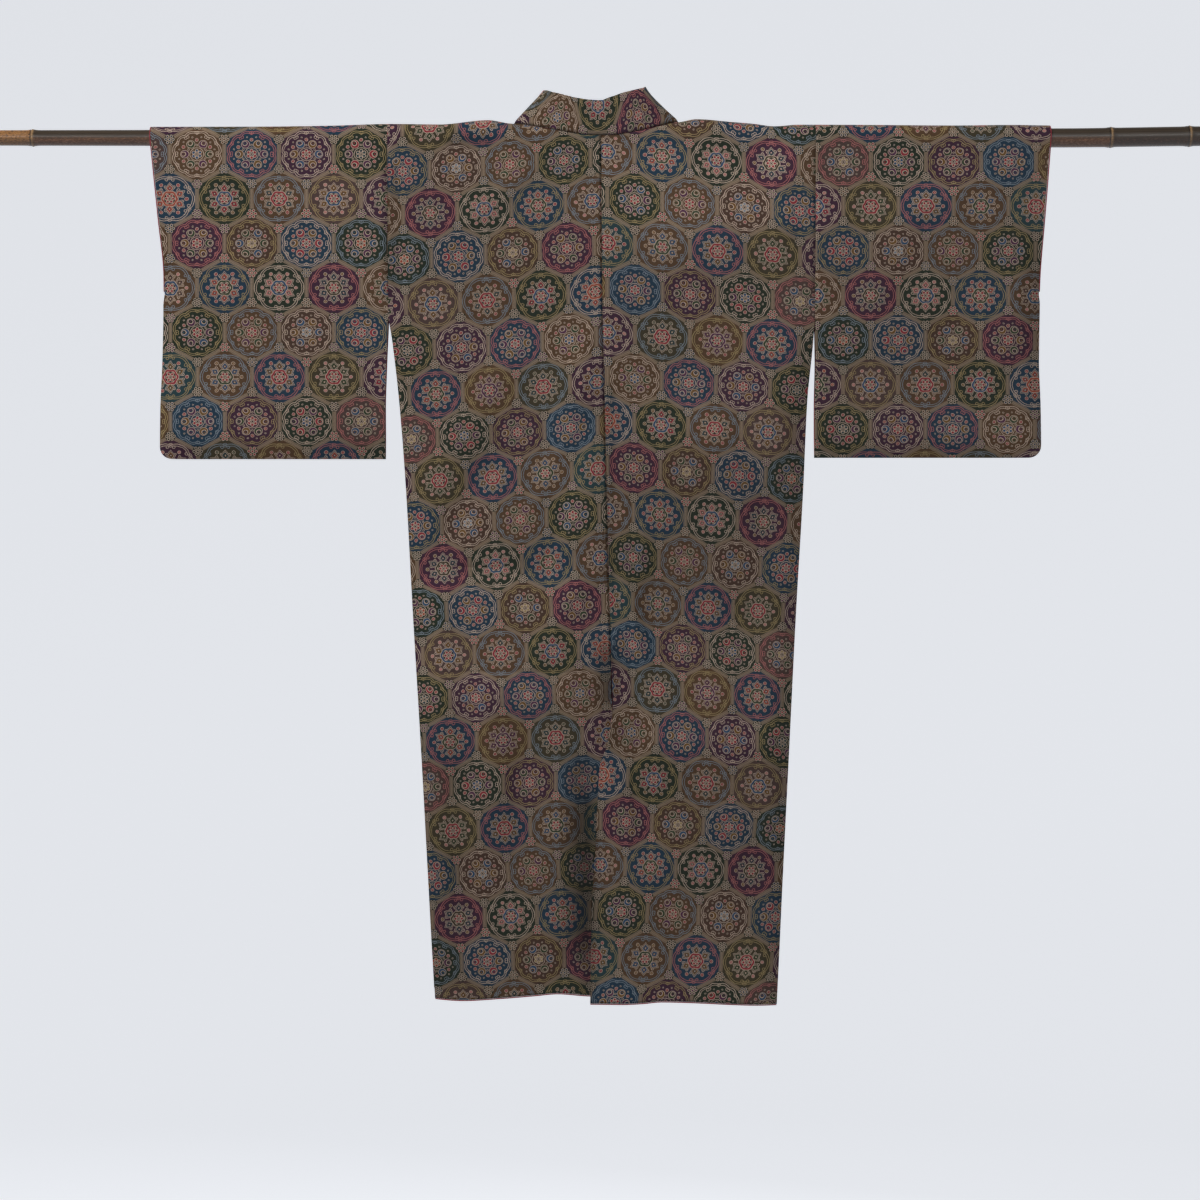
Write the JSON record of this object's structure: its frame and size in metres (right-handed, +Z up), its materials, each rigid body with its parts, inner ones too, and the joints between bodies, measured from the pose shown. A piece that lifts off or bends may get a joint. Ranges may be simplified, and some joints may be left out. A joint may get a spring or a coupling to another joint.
{
  "type": "kimono robe hung on a bamboo rod",
  "caption": "Lined kimono robe in dark hexagon-lattice silk, hung flat on a smoked bamboo rod through both sleeves.",
  "frame": {"origin": "on the rod's axis, at the robe's centre back seam", "axes": "+X along the rod towards the wearer's right sleeve, +Y from the robe's back to its front, +Z up"},
  "size_m": [1.86, 0.0385, 1.3542],
  "materials": {
    "patterned_silk": "dark taupe silk, matte, woven with a hexagon lattice of scroll and star medallions",
    "red_lining": "red plain-weave silk lining, soft sheen",
    "smoked_bamboo": "smoked bamboo, satin, mottled brown and black"
  },
  "bodies": {
    "root": {"body_left": "patterned_silk", "body_right": "patterned_silk", "sleeve_left": "patterned_silk", "sleeve_right": "patterned_silk", "okumi_left": "patterned_silk", "okumi_right": "patterned_silk", "collar": "patterned_silk", "collar_cover": "patterned_silk", "hem_roll_back_left": "red_lining", "hem_roll_back_right": "red_lining", "hem_roll_front_left": "red_lining", "hem_roll_front_right": "red_lining", "hem_roll_okumi_left": "red_lining", "hem_roll_okumi_right": "red_lining", "cuff_roll_left": "red_lining", "cuff_roll_right": "red_lining", "bamboo_rod": "smoked_bamboo"}
  },
  "joints": []
}
